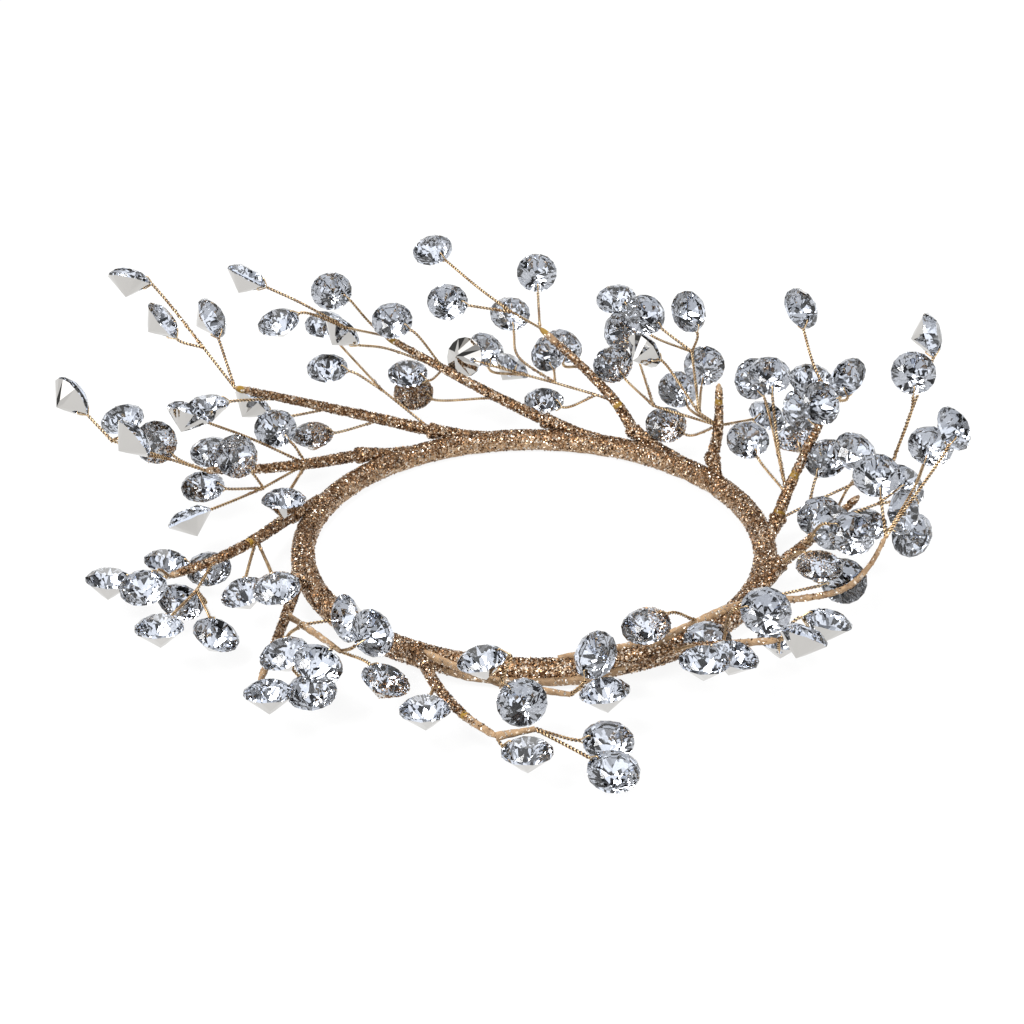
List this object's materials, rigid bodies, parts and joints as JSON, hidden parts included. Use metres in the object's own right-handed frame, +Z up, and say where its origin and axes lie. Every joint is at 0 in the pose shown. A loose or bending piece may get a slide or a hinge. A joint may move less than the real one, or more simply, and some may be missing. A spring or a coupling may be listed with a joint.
{
  "type": "candle ring",
  "caption": "Candle ring: a taped, glittered wire hoop that lies flat round a pillar candle, with sprigs of clear faceted gems on twisted wires that bend at the root.",
  "frame": {"origin": "middle of the candle opening, on the table that the hoop lies on", "axes": "+Z up along the candle's axis; +Y away from the picture's viewer, +X to the viewer's right"},
  "size_m": [0.229, 0.2131, 0.0575],
  "materials": {
    "steel_wire": "dull drawn wire, hidden in its wrap",
    "glitter_wrap": "brown paper tape under coarse champagne glitter",
    "bare_tape": "wound paper tape with a little glitter",
    "copper_wire": "two strands twisted, pale copper gold",
    "clear_gem": "clear faceted acrylic with a mirrored back"
  },
  "bodies": {
    "ring": {"hoop_wire": "steel_wire", "hoop_wrap": "glitter_wrap", "binding_01": "bare_tape", "binding_02": "bare_tape", "binding_03": "bare_tape", "binding_04": "bare_tape", "binding_05": "bare_tape", "binding_06": "bare_tape", "binding_07": "bare_tape", "binding_08": "bare_tape", "binding_09": "bare_tape", "binding_10": "bare_tape", "binding_11": "bare_tape", "binding_12": "bare_tape"},
    "sprig_01": {"stem_01": "glitter_wrap", "wires_01": "copper_wire", "gems_01": "clear_gem"},
    "sprig_02": {"stem_02": "glitter_wrap", "wires_02": "copper_wire", "gems_02": "clear_gem"},
    "sprig_03": {"stem_03": "glitter_wrap", "wires_03": "copper_wire", "gems_03": "clear_gem"},
    "sprig_04": {"stem_04": "glitter_wrap", "wires_04": "copper_wire", "gems_04": "clear_gem"},
    "sprig_05": {"stem_05": "glitter_wrap", "wires_05": "copper_wire", "gems_05": "clear_gem"},
    "sprig_06": {"stem_06": "glitter_wrap", "wires_06": "copper_wire", "gems_06": "clear_gem"},
    "sprig_07": {"stem_07": "glitter_wrap", "wires_07": "copper_wire", "gems_07": "clear_gem"},
    "sprig_08": {"stem_08": "glitter_wrap", "wires_08": "copper_wire", "gems_08": "clear_gem"},
    "sprig_09": {"stem_09": "glitter_wrap", "wires_09": "copper_wire", "gems_09": "clear_gem"},
    "sprig_10": {"stem_10": "glitter_wrap", "wires_10": "copper_wire", "gems_10": "clear_gem"},
    "sprig_11": {"stem_11": "glitter_wrap", "wires_11": "copper_wire", "gems_11": "clear_gem"},
    "sprig_12": {"stem_12": "glitter_wrap", "wires_12": "copper_wire", "gems_12": "clear_gem"}
  },
  "joints": [
    {"name": "sprig_01_bend", "type": "hinge", "parent": "ring", "child": "sprig_01", "pos_m": [-0.0279, 0.05721, 0.0068], "axis": [-0.4225, 0.9064, 0], "range_deg": [-3, 12]},
    {"name": "sprig_02_bend", "type": "hinge", "parent": "ring", "child": "sprig_02", "pos_m": [0.00444, 0.06349, 0.0068], "axis": [0.2159, 0.9764, 0], "range_deg": [-3, 5]},
    {"name": "sprig_03_bend", "type": "hinge", "parent": "ring", "child": "sprig_03", "pos_m": [0.0289, 0.05671, 0.0068], "axis": [0.5104, 0.8599, 0], "range_deg": [-5, 12]},
    {"name": "sprig_04_bend", "type": "hinge", "parent": "ring", "child": "sprig_04", "pos_m": [0.04947, 0.04006, 0.0068], "axis": [0.9104, -0.4137, 0], "range_deg": [-10, 15]},
    {"name": "sprig_05_bend", "type": "hinge", "parent": "ring", "child": "sprig_05", "pos_m": [0.06341, 0.00555, 0.0068], "axis": [0.766, -0.6428, 0], "range_deg": [-8, 4]},
    {"name": "sprig_06_bend", "type": "hinge", "parent": "ring", "child": "sprig_06", "pos_m": [0.06118, -0.01754, 0.0068], "axis": [0.4581, -0.8889, 0], "range_deg": [-2, 12]},
    {"name": "sprig_07_bend", "type": "hinge", "parent": "ring", "child": "sprig_07", "pos_m": [0.05338, -0.03467, 0.0068], "axis": [-0.1269, -0.9919, 0], "range_deg": [-6, 3]},
    {"name": "sprig_08_bend", "type": "hinge", "parent": "ring", "child": "sprig_08", "pos_m": [0.02487, -0.05859, 0.0068], "axis": [-0.0622, -0.9981, 0], "range_deg": [-2, 12]},
    {"name": "sprig_09_bend", "type": "hinge", "parent": "ring", "child": "sprig_09", "pos_m": [-0.0279, -0.05721, 0.0068], "axis": [-0.9022, -0.4312, 0], "range_deg": [-1, 12]},
    {"name": "sprig_10_bend", "type": "hinge", "parent": "ring", "child": "sprig_10", "pos_m": [-0.05859, -0.02487, 0.0068], "axis": [-0.996, 0.0896, 0], "range_deg": [-1, 6]},
    {"name": "sprig_11_bend", "type": "hinge", "parent": "ring", "child": "sprig_11", "pos_m": [-0.06303, 0.00886, 0.0068], "axis": [-0.8235, 0.5673, 0], "range_deg": [0, 8]},
    {"name": "sprig_12_bend", "type": "hinge", "parent": "ring", "child": "sprig_12", "pos_m": [-0.0473, 0.04259, 0.0068], "axis": [-0.5876, 0.8091, 0], "range_deg": [-1, 5]}
  ]
}
